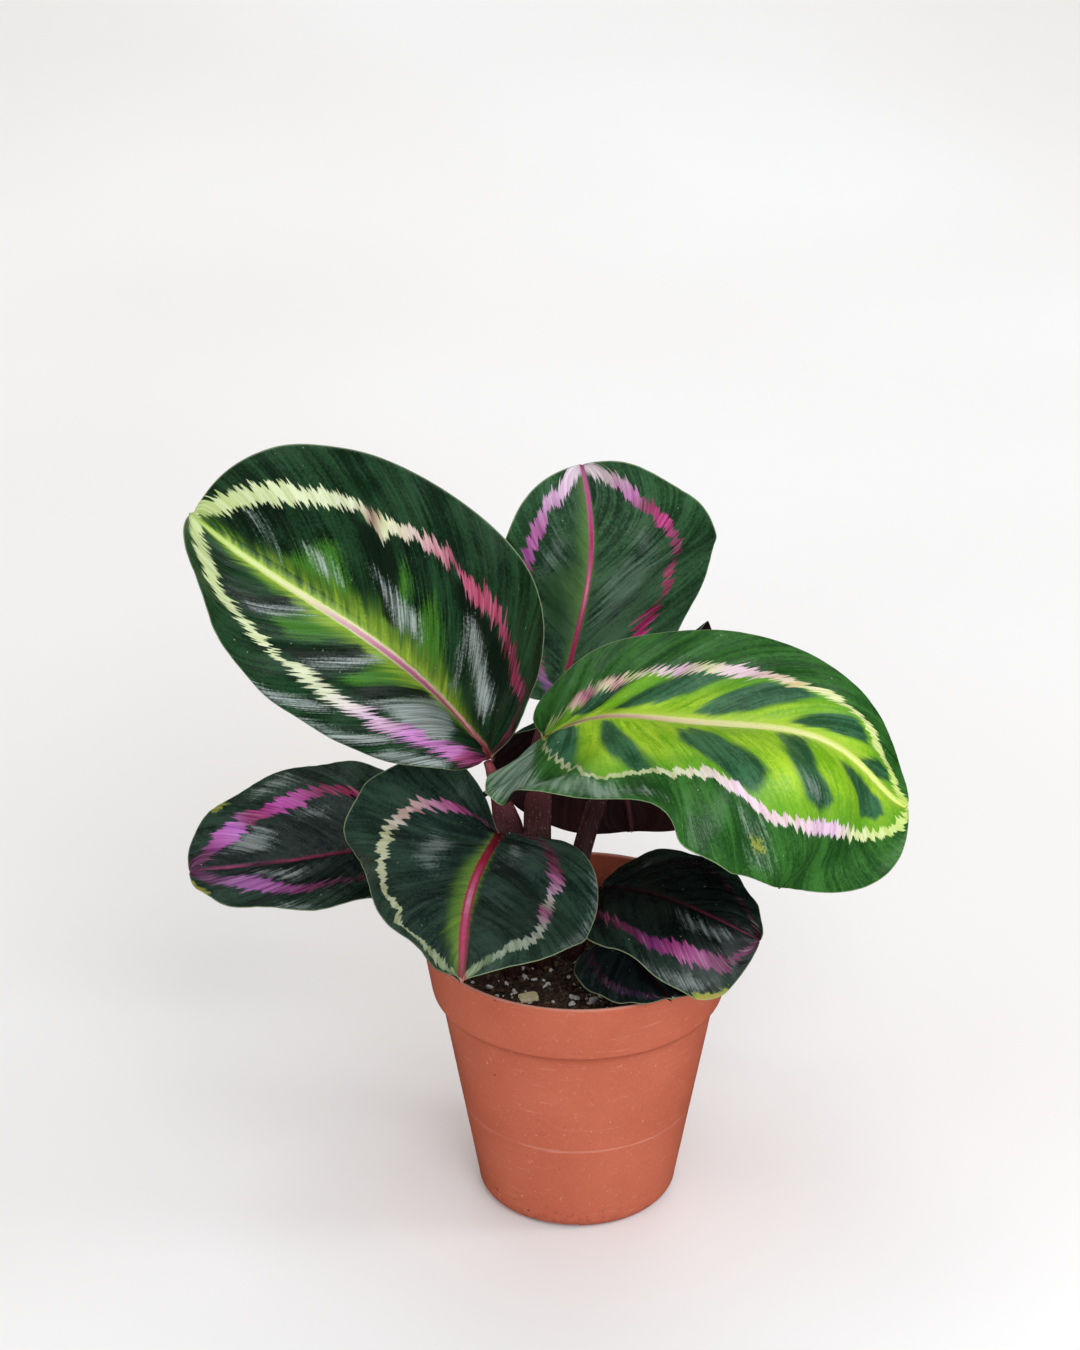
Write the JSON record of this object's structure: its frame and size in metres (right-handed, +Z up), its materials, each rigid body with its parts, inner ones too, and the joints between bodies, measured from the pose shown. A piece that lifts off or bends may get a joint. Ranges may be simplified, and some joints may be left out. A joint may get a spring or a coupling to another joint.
{
  "type": "potted calathea",
  "caption": "Young rose-painted calathea with broad patterned leaves on slender stems, growing in a tapered plastic nursery pot that stands on its own foot.",
  "frame": {"origin": "centre of the pot's underside, level with the ground it stands on", "axes": "+Z up; -Y is the plant's front, which the notch at the pot's foot and the front leaf face; +X to the right seen from the front"},
  "size_m": [0.2747, 0.2231, 0.3046],
  "materials": {
    "pot_plastic": "terracotta-coloured moulded polypropylene, satin, lightly scuffed",
    "potting_mix": "moist dark peat and bark with white perlite",
    "dark_leaf": "glossy dark green leaf with a pink and cream ring and a red-pink midrib, maroon underneath",
    "bright_leaf": "lime green leaf with dark stripes along its side veins, a cream ring and a green border",
    "stem": "dark maroon leaf stem, finely haired"
  },
  "bodies": {
    "root": {"pot": "pot_plastic", "potting_mix": "potting_mix", "leaf_upper_left": "dark_leaf", "leaf_back": "dark_leaf", "leaf_right": "bright_leaf", "leaf_front": "dark_leaf", "leaf_lower_left": "dark_leaf", "leaf_lower_right": "dark_leaf", "leaf_young": "dark_leaf", "leaf_back_right": "dark_leaf", "stem_upper_left": "stem", "stem_back": "stem", "stem_right": "stem", "stem_front": "stem", "stem_lower_left": "stem", "stem_lower_right": "stem", "stem_young": "stem", "stem_back_right": "stem"}
  },
  "joints": []
}
